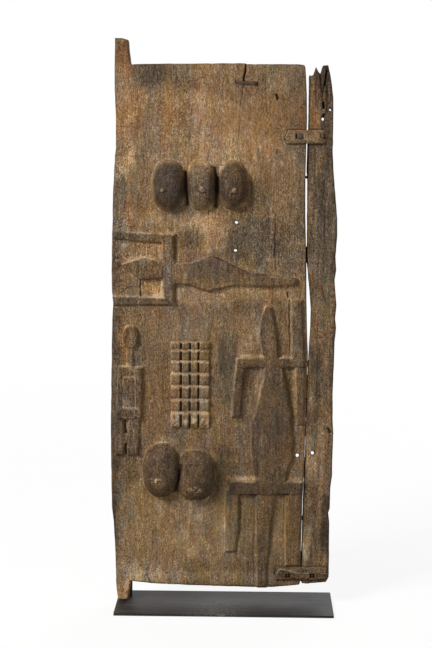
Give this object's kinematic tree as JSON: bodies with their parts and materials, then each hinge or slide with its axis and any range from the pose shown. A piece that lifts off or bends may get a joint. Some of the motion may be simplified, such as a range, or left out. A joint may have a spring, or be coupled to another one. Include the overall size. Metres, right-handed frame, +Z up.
{
  "type": "carved granary door",
  "caption": "Carved wooden granary door with pivot pegs and raised lizards, held upright on a flat steel display stand.",
  "frame": {"origin": "middle of the whole part's box, on the ground", "axes": "+X to the right seen from the carved front, +Y to the back, +Z up"},
  "size_m": [0.6016, 0.2, 1.5196],
  "materials": {
    "plank_wood": "old weathered hardwood, dry and worn",
    "side_wood": "darker weathered hardwood",
    "cleat_wood": "worn hardwood",
    "old_iron": "hand-forged iron, dark and dull",
    "stand_steel": "dark satin patina",
    "bare_steel": "plain",
    "brass": "turned",
    "felt": "pressed felt"
  },
  "bodies": {
    "stand": {"base_plate": "stand_steel", "felt_pads": "felt", "upright_post": "stand_steel", "post_screw": "bare_steel", "support_collar": "stand_steel", "collar_pin": "bare_steel"},
    "washer": {"thrust_washer": "brass"},
    "door": {"main_plank": "plank_wood", "side_plank": "side_wood", "upper_cleat": "cleat_wood", "lower_cleat": "cleat_wood", "upper_cleat_staple": "old_iron", "lower_cleat_staple": "old_iron", "crack_staple": "old_iron", "upper_dowel": "old_iron", "lower_dowel": "old_iron", "upper_eye_bracket": "stand_steel", "lower_fork_bracket": "stand_steel", "upper_bracket_screws": "bare_steel", "lower_bracket_screws": "bare_steel"}
  },
  "joints": [
    {"name": "door_swing", "type": "hinge", "parent": "stand", "child": "washer", "pos_m": [-0.2585, 0.05075, 1.118], "axis": [0, 0, 1], "range_deg": [-40, 20]},
    {"name": "door_lift_off", "type": "slide", "parent": "washer", "child": "door", "axis": [0, 0, 1], "range_m": [0, 0.045]}
  ]
}
